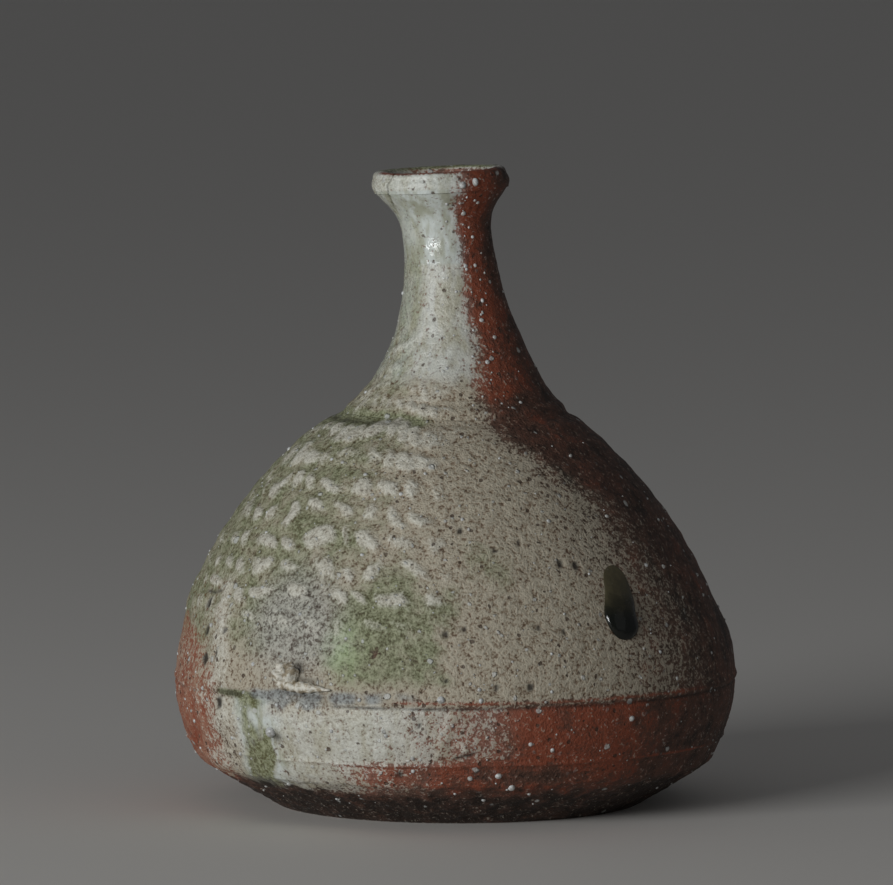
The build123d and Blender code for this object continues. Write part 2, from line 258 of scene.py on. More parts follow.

    # Dark: open seams, the groove at the neck root, the mouth's drying crack, burst pits and hollows,
    # and painted shade in the groove, the hollows, round the sliver and the pebble and at the run's foot.
    crack = CRACK_AZIMUTH - 6 * smooth(136, 132.5, z) - 15 * smooth(132, 126.8, z) + 1.5 * fine
    slit = smooth(1.1, 0.5, abs(a - crack)) * smooth(126.5, 127.5, z)
    cut = near(z, SEAM_CUT + 0.2 * wander, 0.20)
    seam = cut * smooth(-30, -18, a) * max(0.0, 0.72 + 0.7 * fleck + 0.4 * wander)
    seam = max(seam, 0.35 * near(z, LOW_CUT, 0.16) * smooth(-20, -5, a) * (0.6 + fleck))
    seam = max(seam, 0.5 * cut * smooth(-58, -63, a) * (0.6 + fleck))
    # Painted shade in the groove at the neck root, over the green glaze pooled there.
    groove = max(0.0, 0.55 + 0.6 * fleck) * near(z, 82.8, 0.6) * smooth(-25, -45, a + 12 * wander)
    # Painted shade in the hollow beside the lump, which is also cut into the wall, under the sliver and
    # along its top.
    hollow = near(a, -34.2, 1.4) * near(z, 34.0, 1.5)
    under = 0.45 * near(z - 28.9 + 0.06 * (a + 38), 0, 0.5) * smooth(-41, -38, a) * smooth(-26, -29, a)
    above = 0.6 * near(z - 32.2 + 0.09 * (a + 36), 0, 0.55) * smooth(-36, -34, a) * smooth(-27, -31, a)
    stain = 0.75 * pool * max(0.0, 0.7 + 0.9 * fleck + 0.5 * wander)
    # Painted shade in the hollow round the pebble, which is also sunk a little into the wall.
    pebble = near(a, -39.4, 1.4) * near(z, 19.2, 1.1)
    tear = near(z, 16.5 + 0.25 * (a - 1), 0.32) * smooth(-0.9, 0.0, a) * smooth(4.4, 3.0, a)
    fissure = 0.9 * near(z, 47.5 + 0.10 * (a + 66) + 0.5 * fleck, 0.34)
    fissure *= smooth(-71, -69, a) * smooth(-61, -63, a)
    # Painted shade under the glaze run's bead, at its foot above the undercut.
    run_foot_shade = 0.9 * near(a, -51.5 + 1.5 * wander, 5.5) * near(z, 7.7 + 0.4 * fleck, 1.2)
    dark = max(slit, seam, groove, hollow, under, above, stain, 0.9 * pebble, tear, fissure, run_foot_shade)
    hole = 0.0
    if z < PITS_TOP:
        for azimuth, height, reach in PITS:
            across = a - azimuth
            if abs(across) < PIT_SPAN and abs(z - height) < PIT_SPAN:
                hole = max(hole, near(across + 0.3 * fine, 0, reach) * near(z, height, reach * 1.15))
    dark = min(1.0, max(dark, smooth(0.2, 0.7, hole)))

    # Wet: glossiest high on the neck and in the run, and duller on the mouth band and the scorch.
    wet = 0.30 + 0.35 * smooth(86, 94, z) + 0.35 * smooth(115.5, 117.5, z)
    wet += 0.3 * vivid + 0.5 * run + 0.28 * belt * smooth(-55, -45, a) - 0.34 * mouth - 0.3 * bloom

    # Relief: uneven clay, throwing lines, knobs, trimming marks, the joins' ridges and cuts, and holes.
    rings = cos(2 * pi * (z + 1.2 * lumps(p, 0.03, 3)) / RING_GAP)
    calm = 1 - 0.55 * smooth(88, 98, z)
    out = (0.36 * broad + 0.18 * wander + 0.10 * fleck) * calm + 0.09 * fine
    out += RING_RISE * rings * smooth(40, 55, z) * smooth(96, 86, z)
    out += KNOB_RISE * min(knob, 1.1) * smooth(131.5, 130, z) + ASH_RISE * ash
    out += smooth(10.5, 8.5, z) * (0.25 * fleck + 0.15 * fine)
    out += 0.22 * near(a, -21, 30) * near(z, 118.6, 2.0)
    out += ROOT_RISE * near(z, 85.4, 1.0) - ROOT_DEPTH * near(z, 83.4, 0.9)
    facing = 0.6 + 0.4 * smooth(120, 80, abs(a))
    out += facing * (SEAM_RISE * near(z, SEAM_RIDGE, 0.65) - SEAM_DEPTH * near(z, SEAM_CUT, 0.3))
    out += LOW_RISE * near(z, LOW_RIDGE, 0.4) - LOW_DEPTH * near(z, LOW_CUT, 0.25)
    out += 0.8 * flake + 0.3 * drag - 0.4 * tear - 0.5 * pebble
    out -= SLIT_DEPTH * slit + HOLLOW_DEPTH * hollow + PIT_DEPTH * hole
    out *= smooth(-0.2, 1.5, z)
    return out / 1000, (ash, green, knob, vivid), (flash, grey, wet, dark)


def finished(name, bm):
    """The object of that name whose mesh is the finished bmesh."""
    mesh = bpy.data.meshes.new(name)
    bm.to_mesh(mesh)
    bm.free()
    piece = bpy.data.objects.new(name, mesh)
    bpy.context.scene.collection.objects.link(piece)
    return piece


def turned(name, skin, core, steps=WALL_STEPS):
    """Spins a closed wall from its outside outline, rising, and its inside outline, falling."""
    bm = bmesh.new()
    is_skin = bm.verts.layers.float.new("skin")
    outwards = bm.verts.layers.float_vector.new("outwards")
    coat = bm.verts.layers.float_color.new("coat")
    fire = bm.verts.layers.float_color.new("fire")
    ring = [bm.verts.new(point) for point in (*skin, *core)]
    for count, vert in enumerate(ring[: len(skin)]):
        rise = (skin[min(count + 1, len(skin) - 1)] - skin[max(count - 1, 0)]).normalized()
        vert[is_skin] = 1.0
        vert[outwards] = (rise.z, 0, -rise.x)
    for first, second in zip(ring, ring[1:]):
        bm.edges.new((first, second))
    if ring[0].co.x > AXIS_REACH:
        bm.edges.new((ring[-1], ring[0]))
    bmesh.ops.spin(
        bm,
        geom=bm.verts[:] + bm.edges[:],
        axis=(0, 0, 1),
        cent=(0, 0, 0),
        steps=steps,
        angle=2 * pi,
        use_merge=True,
    )
    axis_points = [vert for vert in bm.verts if hypot(vert.co.x, vert.co.y) < AXIS_REACH]
    bmesh.ops.remove_doubles(bm, verts=axis_points, dist=AXIS_REACH)
    bmesh.ops.recalc_face_normals(bm, faces=bm.faces)
    for vert in bm.verts:
        place = vert.co.copy()
        if vert[is_skin] > 0 and place.z > 0:
            out, vert[coat], vert[fire] = weather(place)
            around = hypot(place.x, place.y)
            across, _, up = vert[outwards]
            place += Vector((across * place.x / around, across * place.y / around, up)) * out
        vert.co = settle(place)
    for edge in bm.edges:
        edge.smooth = edge.calc_face_angle(0) < SHARP_EDGE
    for face in bm.faces:
        face.smooth = True
    return finished(name, bm)


# The outline rises from the foot's rim over the knee to the belly, and the core's outline runs inside it.
CORE_FOOT_R = FOOT_R - 0.004
CORE_STEP = 0.003
FOOT_RINGS = 12
foot_rise = curve((FOOT_R, 0, 0.0), pull(0.004, 31), pull(0.004, 34), (KNEE_R, 0, KNEE_Z))
low_rise = curve((KNEE_R, 0, KNEE_Z), pull(0.0073, 61), pull(0.0073, 90), (BELLY_R, 0, BELLY_Z))
low_core = curve(
    (CORE_FOOT_R, 0, FLOOR_T), pull(0.012, 0), pull(0.0123, 90), (BELLY_R - WALL_T, 0, BELLY_Z), CORE_STEP
)
foot_flat = [Vector((FOOT_R * share / FOOT_RINGS, 0, 0)) for share in range(FOOT_RINGS)]
bowl_skin = foot_flat + foot_rise + band(low_rise, KNEE_Z + SKIN_STEP / 2, BELT_Z)
bowl_core = [*reversed(band(low_core, FLOOR_T + 1e-5, BELT_Z))]
bowl_core += [Vector((CORE_FOOT_R, 0, FLOOR_T)), Vector((0, 0, FLOOR_T))]
bowl = turned("base_bowl_wall", bowl_skin, bowl_core)


def node(tree, kind, feeds, **settings):
    """Adds a shader node; feeds gives its inputs as values or as other nodes' outputs."""
    made = tree.nodes.new("ShaderNode" + kind)
    for name, value in settings.items():
        setattr(made, name, value)
    for socket, value in feeds.items():
        if isinstance(value, bpy.types.NodeSocket):
            tree.links.new(value, made.inputs[socket])
        else:
            made.inputs[socket].default_value = value
    return made


def grain(tree, where, size, detail=3.0, stretch=None):
    """Noise, 0 to 1, in grains of that size in metres; stretch scales the place first."""
    if stretch:
        where = node(tree, "Mapping", {"Vector": where, "Scale": stretch}).outputs[0]
    feeds = {"Vector": where, "Scale": 1 / size, "Detail": detail, "Roughness": 0.6}
    return node(tree, "TexNoise", feeds).outputs["Fac"]


def reckon(tree, operation, *values):
    """A Math node's result."""
    return node(tree, "Math", dict(enumerate(values)), operation=operation).outputs[0]


def ramp(tree, value, low, high):
    """0 at low, 1 at high, smooth between and held outside."""
    made = node(tree, "MapRange", {0: value, 1: low, 2: high}, interpolation_type="SMOOTHSTEP")
    return made.outputs[0]


def tint(tree, share, first, second):
    """first where share is 0, second where it is 1."""
    feeds = {0: share}
    for socket, colour in ((6, first), (7, second)):
        feeds[socket] = colour if isinstance(colour, bpy.types.NodeSocket) else (*colour, 1)
    return node(tree, "Mix", feeds, data_type="RGBA").outputs[2]


def specks(tree, where, size, radius, share):
    """Round specks up to that share of a cell's size, in that share of the cells, each its own size."""
    made = node(tree, "TexVoronoi", {"Vector": where, "Scale": 1 / size, "Randomness": 1.0})
    own = node(tree, "SeparateColor", {0: made.outputs["Color"]})
    reach = reckon(tree, "MULTIPLY", own.outputs[0], radius)
    rim = reckon(tree, "SUBTRACT", reach, made.outputs["Distance"])
    present = reckon(tree, "LESS_THAN", own.outputs[1], share)
    return reckon(tree, "MULTIPLY", ramp(tree, rim, 0.0, 0.06), present)


def new_finish(name):
    """A material of that name, its node tree, its shader and the place on the piece."""
    material = bpy.data.materials.new(name)
    material.use_nodes = True
    tree = material.node_tree
    return material, tree, tree.nodes["Principled BSDF"], node(tree, "TexCoord", {}).outputs["Object"]


# Bare clay as it fired, from the coolest place to the hottest.
DARKEST_CLAY = (0.021, 0.009, 0.004)
BROWN_CLAY = (0.108, 0.048, 0.030)
RED_CLAY = (0.272, 0.064, 0.027)
ORANGE_CLAY = (0.37, 0.175, 0.11)

# Ash glaze, each kind as its darker and its lighter grains.
THIN_GLAZE = ((0.195, 0.127, 0.072), (0.50, 0.447, 0.345))
OLIVE_GLAZE = ((0.105, 0.105, 0.042), (0.36, 0.375, 0.235))
LEAF_GLAZE = ((0.17, 0.24, 0.085), (0.34, 0.46, 0.20))
CREAM_GLAZE = ((0.46, 0.425, 0.34), (0.75, 0.73, 0.64))
MILKY_GLAZE = ((0.43, 0.45, 0.36), (0.71, 0.77, 0.75))
SOOT = ((0.12, 0.105, 0.09), (0.50, 0.49, 0.44))
BLUE_SOOT = ((0.105, 0.115, 0.120), (0.31, 0.35, 0.37))

PIT_BROWN = (0.06, 0.030, 0.016)
SPECK_WHITE = (0.62, 0.63, 0.60)
# The black of cracks and open seams, also used for painted shade.
SHADE_AND_CRACK_BLACK = (0.020, 0.014, 0.009)


def fired_pot():
    """The finish of the whole pot: coarse clay, natural ash glaze over it, scorch, pits and feldspar."""
    material, tree, shader, where = new_finish("fired_pot")
    coat = node(tree, "Attribute", {}, attribute_name="coat")
    fire = node(tree, "Attribute", {}, attribute_name="fire")
    ash, green, knob = node(tree, "SeparateColor", {0: coat.outputs["Color"]}).outputs
    flash, grey, wet = node(tree, "SeparateColor", {0: fire.outputs["Color"]}).outputs
    vivid, dark = coat.outputs["Alpha"], fire.outputs["Alpha"]
    level = node(tree, "SeparateXYZ", {0: where}).outputs[2]

    # The grain: the place shaken a little, so that specks aren't round, and noise from coarse to fine.
    nudge = node(tree, "TexNoise", {"Vector": where, "Scale": 900.0, "Detail": 2.0}).outputs["Color"]
    reach = (0.0009, 0.0009, 0.0009)
    nudge = node(tree, "VectorMath", {0: nudge, 1: reach}, operation="MULTIPLY").outputs[0]
    shaken = node(tree, "VectorMath", {0: where, 1: nudge}, operation="ADD").outputs[0]
    coarse = grain(tree, where, size=0.0045, detail=4.0)
    streak = grain(tree, where, size=0.0030, detail=4.0, stretch=(1, 1, 0.3))
    sand = grain(tree, where, size=0.0012, detail=4.0)
    dust = grain(tree, where, size=0.0005)
    both = reckon(tree, "ADD", reckon(tree, "MULTIPLY", sand, 0.5), reckon(tree, "MULTIPLY", dust, 0.5))
    even = ramp(tree, both, 0.36, 0.64)

    # Bare clay, from nearly black through purple brown and red to orange.
    heat = reckon(tree, "ADD", flash, reckon(tree, "MULTIPLY_ADD", both, 1.2, -0.60))
    heat = reckon(tree, "ADD", heat, reckon(tree, "MULTIPLY_ADD", coarse, 0.75, -0.39))
    clay = tint(tree, ramp(tree, heat, 0.0, 0.34), DARKEST_CLAY, BROWN_CLAY)
    clay = tint(tree, ramp(tree, heat, 0.28, 0.66), clay, RED_CLAY)
    clay = tint(tree, ramp(tree, heat, 0.68, 1.05), clay, ORANGE_CLAY)

    # Ash glaze: beige where thin, olive and green where thick, cream on the knobs, grey where scorched.
    stain = ramp(tree, both, 0.36, 0.54)
    glaze = tint(tree, stain, *THIN_GLAZE)
    thick = reckon(tree, "ADD", green, reckon(tree, "MULTIPLY_ADD", coarse, 1.1, -0.55))
    olive = tint(tree, ramp(tree, both, 0.38, 0.62), *OLIVE_GLAZE)
    glaze = tint(tree, ramp(tree, thick, 0.10, 0.75), glaze, olive)
    leaf = tint(tree, stain, *LEAF_GLAZE)
    bright = reckon(tree, "MULTIPLY", vivid, ramp(tree, coarse, 0.34, 0.58))
    glaze = tint(tree, reckon(tree, "MULTIPLY", bright, 0.9), glaze, leaf)
    mottle = ramp(tree, both, 0.40, 0.58)
    soot = tint(tree, mottle, *SOOT)
    low = ramp(tree, level, 0.0318, 0.0295)
    blue = tint(tree, mottle, *BLUE_SOOT)
    soot = tint(tree, reckon(tree, "MULTIPLY", low, 0.85), soot, blue)
    glaze = tint(tree, reckon(tree, "MULTIPLY", ramp(tree, grey, 0.15, 0.85), 0.8), glaze, soot)
    high = reckon(tree, "ADD", knob, reckon(tree, "MULTIPLY_ADD", both, 1.4, -0.7))
    cream = tint(tree, even, *CREAM_GLAZE)
    glaze = tint(tree, reckon(tree, "MULTIPLY", ramp(tree, high, 0.05, 0.95), 0.92), glaze, cream)
    pale = tint(tree, ramp(tree, streak, 0.36, 0.60), *MILKY_GLAZE)
    milk = reckon(tree, "MULTIPLY", ramp(tree, wet, 0.40, 0.85), ramp(tree, green, 0.9, 0.2))
    milk = reckon(tree, "MULTIPLY", milk, ramp(tree, both, 0.28, 0.44))
    glaze = tint(tree, reckon(tree, "MULTIPLY", milk, 0.85), glaze, pale)

    # The coat's edge breaks up into specks of glaze and clay.
    ragged = reckon(tree, "ADD", ash, reckon(tree, "MULTIPLY_ADD", even, 1.1, -0.55))
    covered = reckon(tree, "MULTIPLY", ramp(tree, ragged, 0.38, 0.62), 0.62)
    covered = reckon(tree, "ADD", covered, reckon(tree, "MULTIPLY", ash, 0.38))
    colour = tint(tree, covered, clay, glaze)

    # Burst pits, brown in the thin glaze and black at the left, and white feldspar from fine to coarse.
    pits = specks(tree, shaken, size=0.0020, radius=0.29, share=0.62)
    pits = reckon(tree, "MULTIPLY", pits, ramp(tree, green, 0.7, 0.15))
    colour = tint(tree, reckon(tree, "MULTIPLY", pits, 0.8), colour, PIT_BROWN)
    salt = specks(tree, shaken, size=0.0017, radius=0.28, share=0.50)
    crumbs = specks(tree, shaken, size=0.0046, radius=0.19, share=0.80)
    salt = reckon(tree, "MULTIPLY", salt, reckon(tree, "MULTIPLY_ADD", covered, 0.8, 0.2))
    salt = reckon(tree, "MAXIMUM", salt, crumbs)
    colour = tint(tree, reckon(tree, "MULTIPLY", salt, 0.72), colour, SPECK_WHITE)
    # Nearly black: cracks, seams, pits, pooled glaze, and painted shade in hollows, by the debris and the
    # run's foot.
    colour = tint(tree, reckon(tree, "MULTIPLY", dark, 0.93), colour, SHADE_AND_CRACK_BLACK)
    tree.links.new(colour, shader.inputs["Base Color"])

    # Glass-smooth where the glaze is wet, and rough and grainy where the clay is bare.
    gloss = reckon(tree, "MULTIPLY", covered, ramp(tree, wet, 0.1, 1.0))
    rough = reckon(tree, "MULTIPLY_ADD", gloss, -0.55, 0.64)
    rough = reckon(tree, "ADD", rough, reckon(tree, "MULTIPLY_ADD", dust, 0.4, -0.2))
    rough = reckon(tree, "MULTIPLY_ADD", salt, -0.2, rough)
    tree.links.new(rough, shader.inputs["Roughness"])

    height = reckon(tree, "MULTIPLY_ADD", sand, 0.55, reckon(tree, "MULTIPLY", dust, 0.35))
    height = reckon(tree, "MULTIPLY_ADD", salt, 0.45, height)
    height = reckon(tree, "MULTIPLY_ADD", pits, -0.6, height)
    smoothness = reckon(tree, "MULTIPLY_ADD", gloss, -0.82, 1.0)
    bump = node(tree, "Bump", {"Height": height, "Distance": 0.0009, "Strength": smoothness})
    tree.links.new(bump.outputs[0], shader.inputs["Normal"])
    return material


pot_finish = fired_pot()
bowl.data.materials.append(pot_finish)
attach(bowl, "root")
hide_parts("base_bowl")


# ---- The lower belt ----
# The belt of wall between the two luted seams, with the same curve running on from the bowl.
# Its clay fired red at the front right; at the front left it carries cream glaze and the green run.
belt = turned(
    "lower_belt_wall", band(low_rise, BELT_Z, BELLY_Z), [*reversed(band(low_core, BELT_Z, BELLY_Z))]
)
belt.data.materials.append(pot_finish)
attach(belt, "root")
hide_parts("lower_belt")


# ---- The shoulder ----
# The domed upper half of the belly, thrown in one piece and luted on at its widest ring.
# It carries most of the ash: beige in front, green and knobbly on the left, scorched off on the right.
ROOT_R, ROOT_Z = 0.0240, 0.0840
ROOT_CORE_R = 0.0165
SHOULDER_CORE_STEP = 0.005
dome = pull(0.0172, 90), pull(0.0203, 180 - 31)
shoulder_rise = curve((BELLY_R, 0, BELLY_Z), *dome, (ROOT_R, 0, ROOT_Z))
shoulder_core = curve((BELLY_R - WALL_T, 0, BELLY_Z), *dome, (ROOT_CORE_R, 0, ROOT_Z), SHOULDER_CORE_STEP)
shoulder = turned("shoulder_wall", shoulder_rise, [*reversed(shoulder_core)])
shoulder.data.materials.append(pot_finish)
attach(shoulder, "root")
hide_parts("shoulder")


# ---- The neck ----
# A narrow neck, thrown upright and then pushed over towards the left, flaring again under the mouth.
# The left is under glossy grey-cream glaze and the right is bare red clay, with a ragged edge between.
WAIST_R, WAIST_Z = 0.0094, 0.1215
LIP_R, LIP_Z = 0.0140, 0.1314
THROAT_R, THROAT_Z, THROAT_TOP = 0.0060, 0.102, 0.1203
FUNNEL_R = 0.0095
NECK_STEPS = 420
NECK_STEP = 0.0004
NECK_CORE_STEP = 0.002
root, waist, lip = (ROOT_R, 0, ROOT_Z), (WAIST_R, 0, WAIST_Z), (LIP_R, 0, LIP_Z)
neck_skin = curve(root, pull(0.0105, 140), pull(0.015, 90), waist, NECK_STEP)
neck_skin += curve(waist, pull(0.0055, 90), pull(0.004, 54), lip, NECK_STEP)[1:]
throat = (THROAT_R, 0, THROAT_Z)
neck_core = curve((ROOT_CORE_R, 0, ROOT_Z), pull(0.0105, 140), pull(0.009, 90), throat, NECK_CORE_STEP)
neck_core += [Vector((THROAT_R, 0, THROAT_TOP)), Vector((FUNNEL_R, 0, LIP_Z))]
neck = turned("neck_wall", neck_skin, [*reversed(neck_core)], NECK_STEPS)
neck.data.materials.append(pot_finish)
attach(neck, "root")
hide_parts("neck")


# ---- The mouth band ----
# A turned band round the mouth with a rounded top and a faint bulge, its plane tilted a little.
# A drying crack runs down through it at the left front, and its right end is bare red clay.
BAND_H = 0.0043
BAND_PULL = 0.0007
BAND_STEP = 0.00025
# Each stretch of the band's outline: its start, the slopes that it leaves and arrives at, and its end.
BAND_RISE = (
    ((LIP_R + 0.0003, 0, LIP_Z), 84, 90, (LIP_R + 0.0006, 0, LIP_Z + 0.0015)),
    ((LIP_R + 0.0006, 0, LIP_Z + 0.0015), 90, 97, (LIP_R + 0.0001, 0, LIP_Z + BAND_H - 0.0010)),
    ((LIP_R + 0.0001, 0, LIP_Z + BAND_H - 0.0010), 97, 180, (LIP_R - 0.0012, 0, LIP_Z + BAND_H)),
    ((LIP_R - 0.0012, 0, LIP_Z + BAND_H), 180, 255, (0.0109, 0, LIP_Z + BAND_H - 0.0008)),
)
band_skin = [Vector(BAND_RISE[0][0])]
for start, leave, arrive, end in BAND_RISE:
    band_skin += curve(start, pull(BAND_PULL, leave), pull(BAND_PULL, arrive), end, BAND_STEP)[1:]
mouth = turned("mouth_band_ring", band_skin, [Vector((FUNNEL_R, 0, LIP_Z))], NECK_STEPS)
mouth.data.materials.append(pot_finish)
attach(mouth, "root")
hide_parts("mouth_band")


# ---- The glaze run ----
# Green glass that ran from the seam down the lower belt and gathered in a bead above the undercut.
# It is a low ridge melted into the wall, so it carries the wall's own finish.
RUN_Z = 0.0178
RUN_HALF = 0.0102
outline = foot_rise + low_rise + shoulder_rise[1:] + neck_skin[1:] + band_skin[1:12]


def on_wall(azimuth, height, out):
    """The point that far out from the fired wall, at degrees from the front and a height, in metres."""
    upper = min(len(outline) - 1, max(1, sum(1 for point in outline if point.z < height)))
    first, second = outline[upper - 1], outline[upper]
    share = (height - first.z) / (second.z - first.z)
    middle = first.lerp(second, share)
    rise = (second - first).normalized()
    turn = Matrix.Rotation(radians(azimuth - 90), 3, "Z")
    point = turn @ Vector((middle.x, 0, height))
    normal = turn @ Vector((rise.z, 0, -rise.x))
    lift = weather(point)[0]
    return settle(point + normal * (lift + out))


def moulded(name, place, around, along, colours=None):
    """A closed ball whose every point is moved by place(x, y, z), with y outwards and z upwards."""
    bm = bmesh.new()
    bmesh.ops.create_uvsphere(bm, u_segments=around, v_segments=along, radius=1)
    coat = bm.verts.layers.float_color.new("coat")
    fire = bm.verts.layers.float_color.new("fire")
    for vert in bm.verts:
        if colours:
            vert[coat], vert[fire] = colours(*vert.co)
        vert.co = place(*vert.co)
    bmesh.ops.recalc_face_normals(bm, faces=bm.faces)
    for face in bm.faces:
        face.smooth = True
    return finished(name, bm)


def run_place(x, y, z):
    """Bends left above and below its middle, and is widest and thickest at its foot."""
    height = RUN_Z + RUN_HALF * z
    width = 2.9 + 1.0 * smooth(-0.2, -0.9, z) + 0.7 * sin(9 * z)
    azimuth = RUN_AZIMUTH - 20000 * (height - 0.019) ** 2 + width * x
    thick = 0.00035 + 0.0006 * smooth(-0.5, -0.9, z)
    return on_wall(azimuth, height, thick * y * y if y > 0 else 0.0006 * y)


def run_colours(x, y, z):
    """The wall's own colours at the run's sides, and wet green along its middle, with painted shade at
    its foot.
    """
    place = run_place(x, 0, z)
    coat, fire = weather(place)[1:]
    cloud = lumps(place, 0.0045, 3)
    drip = lumps(Vector((place.x, place.y, 0.35 * place.z)), 0.0019, 9)
    aside = abs(x) / max(0.1, 1 - z * z) ** 0.5
    middle = smooth(1.0, 0.35, aside + 0.5 * drip + 0.3 * cloud - 0.35 * smooth(-0.2, -0.8, z))
    fresh = 0.78 + 0.2 * smooth(0.1, -0.7, z) + 0.5 * cloud + 0.3 * drip
    green = coat[1] * (1 - middle) + middle * fresh
    # Darker clouds of glass along the middle, and painted shade under the bead at the foot.
    depth_and_shade = max(0.0, 0.9 * smooth(-0.62, -0.95, z) + 0.45 * cloud * middle * smooth(0.6, -0.4, z))
    knob = coat[2] * (1 - middle)
    wet = fire[2] * (1 - middle) + 0.9 * middle
    return (1.0, min(1.0, max(0.3, green)), knob, 0.0), (fire[0], 0.0, wet, min(1.0, depth_and_shade))


glaze_run = moulded("glaze_run_ridge", run_place, around=36, along=60, colours=run_colours)
glaze_run.data.materials.append(pot_finish)
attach(glaze_run, "root")
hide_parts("glaze_run")


# ---- The glass drop ----
# A drop of natural glass that fell from the kiln roof and froze as it slid: thin and olive at the top,
# and nearly black where it is thickest.
DROP_AZIMUTH = 39.9
DROP_SLANT = 1.5
DROP_Z = 0.0470
DROP_HALF = 0.0075
DROP_THICK = 0.0021
GLASS_DEEP = (0.004, 0.005, 0.003)
GLASS_THIN = (0.090, 0.075, 0.038)
GLASS_SPARKLE = (0.4, 0.42, 0.35)


def drop_place(x, y, z):
    """Blunt at both ends, a little slanted, and thickest towards its foot."""
    ends = max(1e-6, 1 - z * z) ** 0.5
    blunt = min(2.4, (1 - abs(z) ** 4) ** 0.5 / ends)
    width = (3.7 + 0.5 * smooth(0.6, -0.3, z)) * blunt
    azimuth = DROP_AZIMUTH + DROP_SLANT * z + width * x + 0.2 * sin(6 * z)
    height = DROP_Z + DROP_HALF * z
    thick = DROP_THICK * (0.12 + 0.88 * smooth(0.9, -0.6, z))
    return on_wall(azimuth, height, thick * y if y > 0 else 0.0012 * y)


drop = moulded("glass_drop_bead", drop_place, around=48, along=40)
glass, tree, shader, where = new_finish("natural_glass")
level = node(tree, "SeparateXYZ", {0: where}).outputs[2]
cloud = reckon(tree, "MULTIPLY_ADD", grain(tree, where, size=0.003), 0.006, -0.003)
rise = ramp(tree, reckon(tree, "ADD", level, cloud), 0.0435, 0.0540)
# Pale specks painted into the glass as its sparkle highlights.
sparkle_specks = specks(tree, where, size=0.0011, radius=0.3, share=0.35)
glass_colour = tint(tree, rise, GLASS_DEEP, GLASS_THIN)
glass_colour = tint(tree, reckon(tree, "MULTIPLY", sparkle_specks, 0.12), glass_colour, GLASS_SPARKLE)
tree.links.new(glass_colour, shader.inputs["Base Color"])
tree.links.new(reckon(tree, "MULTIPLY_ADD", rise, 0.35, 0.10), shader.inputs["Roughness"])
ripples = grain(tree, where, size=0.0018)
ripple = node(tree, "Bump", {"Height": ripples, "Distance": 0.0003, "Strength": 0.5})
tree.links.new(ripple.outputs[0], shader.inputs["Normal"])
drop.data.materials.append(glass)
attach(drop, "root")
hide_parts("glass_drop")


# ---- Kiln debris: a lump and a sliver ----
# A crumb of kiln wall with a hollow beside it and a ribbed sliver, which fell on the seam and fused on.
# Both are cream outside and brown in their hollows.
LUMP_AZIMUTH, LUMP_Z = -36.2, 0.0323
SLIVER_AZIMUTH, SLIVER_Z = -37.2, 0.0304
CRUST_BROWN = (0.40, 0.33, 0.23)
CRUST_CREAM = (0.76, 0.73, 0.64)


def lump_place(x, y, z):
    """A crumb: a ball swollen unevenly, broad swellings under small ones."""
    shape = Vector((x, y, z))
    swell = 1 + 0.30 * noise.noise(shape * 1.7 + Vector((3, 1, 7))) + 0.15 * noise.noise(shape * 5)
    azimuth = LUMP_AZIMUTH + 2.6 * x * swell - 0.5 * z
    height = LUMP_Z + 0.0028 * z * swell
    return on_wall(azimuth, height, 0.0031 * y * swell)


def sliver_place(x, y, z):
    """Lies along the seam, thick at the left and pointed at the right, ribbed like a screw shell."""
    length = 0.5 + 0.5 * z
    thick = (1.0 - 0.62 * length) * (1 + 0.13 * sin(34 * length)) * (1 + 0.1 * sin(3 * x + 9 * length))
    height = SLIVER_Z - 0.0004 * length + 0.0015 * x * thick
    azimuth = SLIVER_AZIMUTH + 11.6 * length
    return on_wall(azimuth, height, 0.0006 + 0.0020 * y * thick)


lump = moulded("debris_lump_crumb", lump_place, around=48, along=36)
sliver = moulded("debris_sliver_rib", sliver_place, around=28, along=80)
crust, tree, shader, where = new_finish("kiln_crust")
sand = grain(tree, where, size=0.0011, detail=4.0)
crust_colour = tint(tree, ramp(tree, sand, 0.40, 0.58), CRUST_BROWN, CRUST_CREAM)
tree.links.new(crust_colour, shader.inputs["Base Color"])
tree.links.new(reckon(tree, "MULTIPLY_ADD", sand, 0.4, 0.35), shader.inputs["Roughness"])
pitted = node(tree, "Bump", {"Height": sand, "Distance": 0.0006, "Strength": 0.8})
tree.links.new(pitted.outputs[0], shader.inputs["Normal"])
for piece, name in ((lump, "debris_lump"), (sliver, "debris_sliver")):
    piece.data.materials.append(crust)
    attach(piece, "root")
    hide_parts(name)


# ---- The pebble and the feldspar grains ----
# A round grey pebble in the lower belt and the coarse feldspar of the clay, which stands out of the wall
# as white beads. The fire drew them up to the skin and rounded them.
PEBBLE_AZIMUTH, PEBBLE_Z = -40.6, 0.0202
SPAR_GREY = (0.36, 0.35, 0.32)
SPAR_WHITE = (0.66, 0.68, 0.68)


def pebble_place(x, y, z):
    """A round pebble, about a millimetre to each side and sunk nearly half into the wall."""
    return on_wall(PEBBLE_AZIMUTH + 1.05 * x, PEBBLE_Z + 0.0011 * z, 0.0002 + 0.0010 * y)


pebble = moulded("side_pebble_bead", pebble_place, around=24, along=16)
spar, tree, shader, where = new_finish("feldspar")
cloud = grain(tree, where, size=0.0007)
spar_colour = tint(tree, ramp(tree, cloud, 0.35, 0.65), SPAR_GREY, SPAR_WHITE)
tree.links.new(spar_colour, shader.inputs["Base Color"])
tree.links.new(reckon(tree, "MULTIPLY_ADD", cloud, 0.4, 0.1), shader.inputs["Roughness"])
pebble.data.materials.append(spar)
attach(pebble, "root")
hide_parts("side_pebble")

